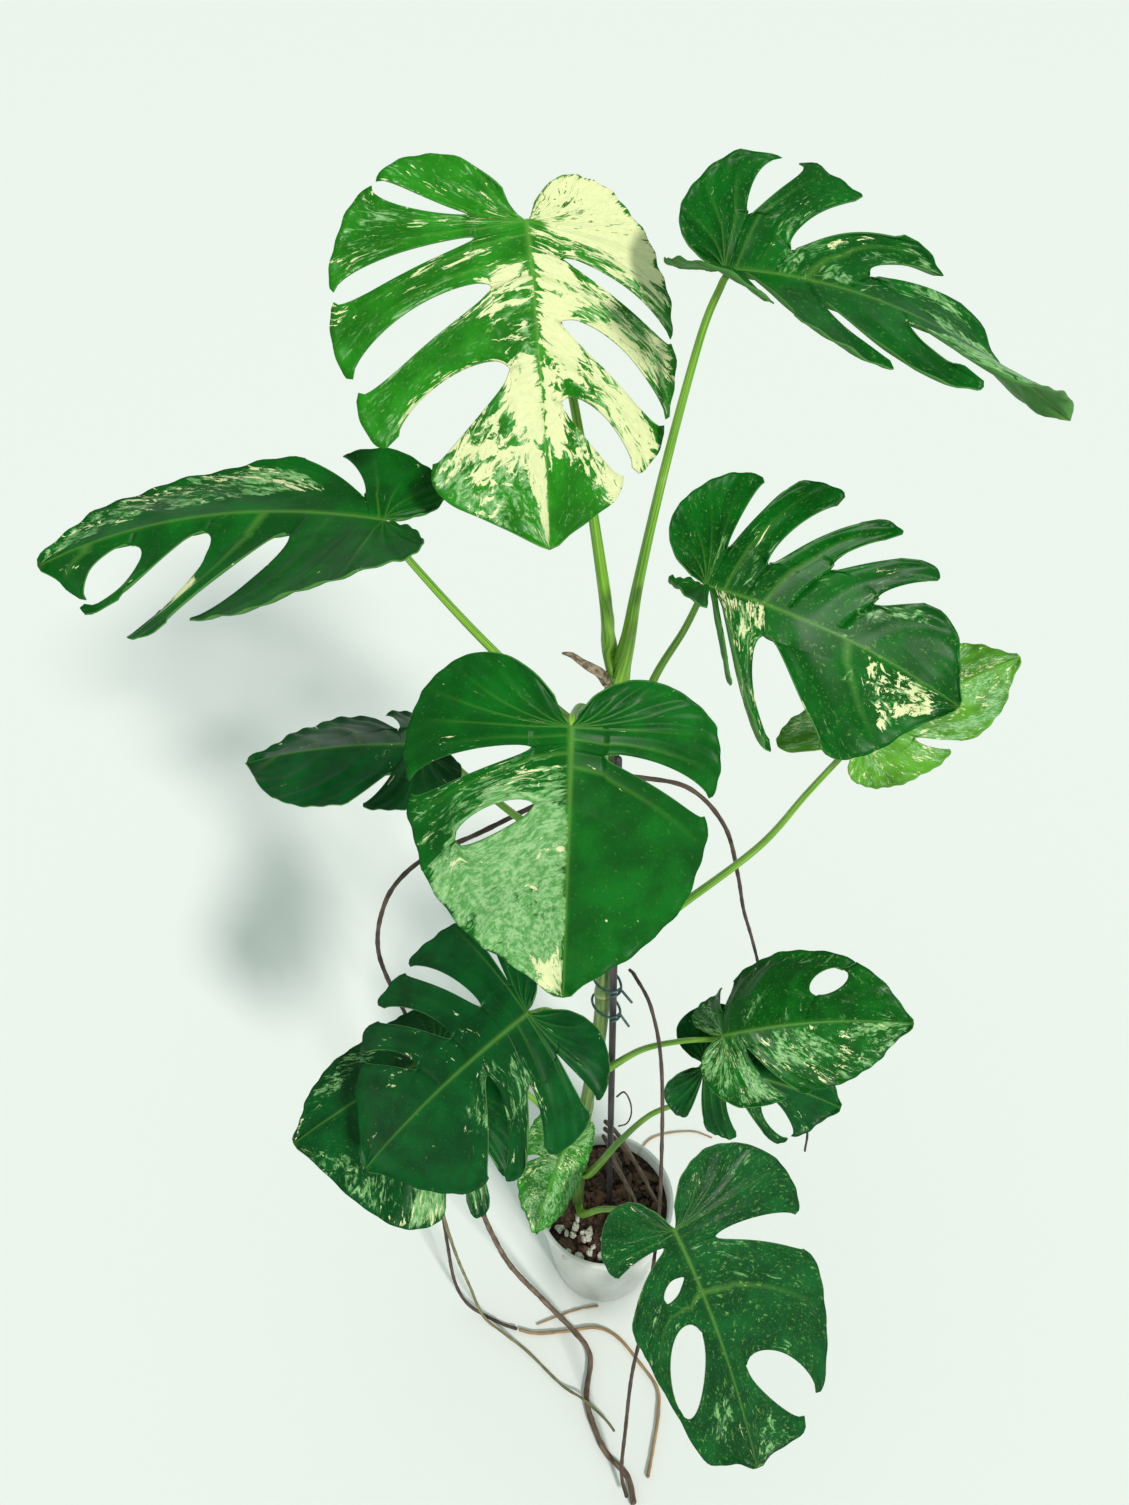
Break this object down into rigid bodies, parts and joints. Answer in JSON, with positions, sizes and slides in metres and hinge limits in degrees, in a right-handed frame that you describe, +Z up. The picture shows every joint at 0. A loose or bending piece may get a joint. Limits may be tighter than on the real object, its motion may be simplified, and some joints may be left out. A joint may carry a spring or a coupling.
{
  "type": "potted monstera plant",
  "caption": "Climbing variegated monstera on a thin stake in a clear nursery pot, with slit leaves on long stalks and trailing aerial roots; for a floor or a shelf.",
  "frame": {"origin": "centre of the pot's underside, on the floor", "axes": "+Z up along the stake; -Y is the plant's front, where the widest leaf hangs; +X is to its right as seen from the front"},
  "size_m": [0.6875, 0.4751, 1.3272],
  "materials": {
    "leaf": "leathery, softly glossy green with cream marbling",
    "stalk": "smooth green with fine streaks",
    "root": "rough brown bark",
    "substrate": "loose bark chunks with pumice",
    "pot_plastic": "milky translucent plastic",
    "stake": "matte dark",
    "tie_wire": "coated garden wire",
    "husk": "dry and papery"
  },
  "bodies": {
    "root": {"blade_at_pot": "leaf", "blade_bottom_right": "leaf", "blade_centre": "leaf", "blade_left": "leaf", "blade_left_back": "leaf", "blade_lower_left": "leaf", "blade_lower_left_back": "leaf", "blade_lower_right": "leaf", "blade_lower_right_under": "leaf", "blade_right": "leaf", "blade_right_small": "leaf", "blade_top_left": "leaf", "blade_top_right": "leaf", "petiole_at_pot": "stalk", "petiole_bottom_right": "stalk", "petiole_centre": "stalk", "petiole_left": "stalk", "petiole_left_back": "stalk", "petiole_lower_left": "stalk", "petiole_lower_left_back": "stalk", "petiole_lower_right": "stalk", "petiole_lower_right_under": "stalk", "petiole_right": "stalk", "petiole_right_small": "stalk", "petiole_top_left": "stalk", "petiole_top_right": "stalk", "pot": "pot_plastic", "root_curl": "root", "root_drain_back": "root", "root_drain_front": "root", "root_fan_1": "root", "root_fan_2": "root", "root_fan_3": "root", "root_fan_4": "root", "root_fan_5": "root", "root_floor_tan": "root", "root_front_drop": "root", "root_left_loop": "root", "root_olive": "root", "root_right_hanging": "root", "root_thick": "root", "sheath_tip": "husk", "stake": "stake", "stem": "stalk", "substrate": "substrate", "tie_lower": "tie_wire", "tie_upper": "tie_wire"}
  },
  "joints": []
}
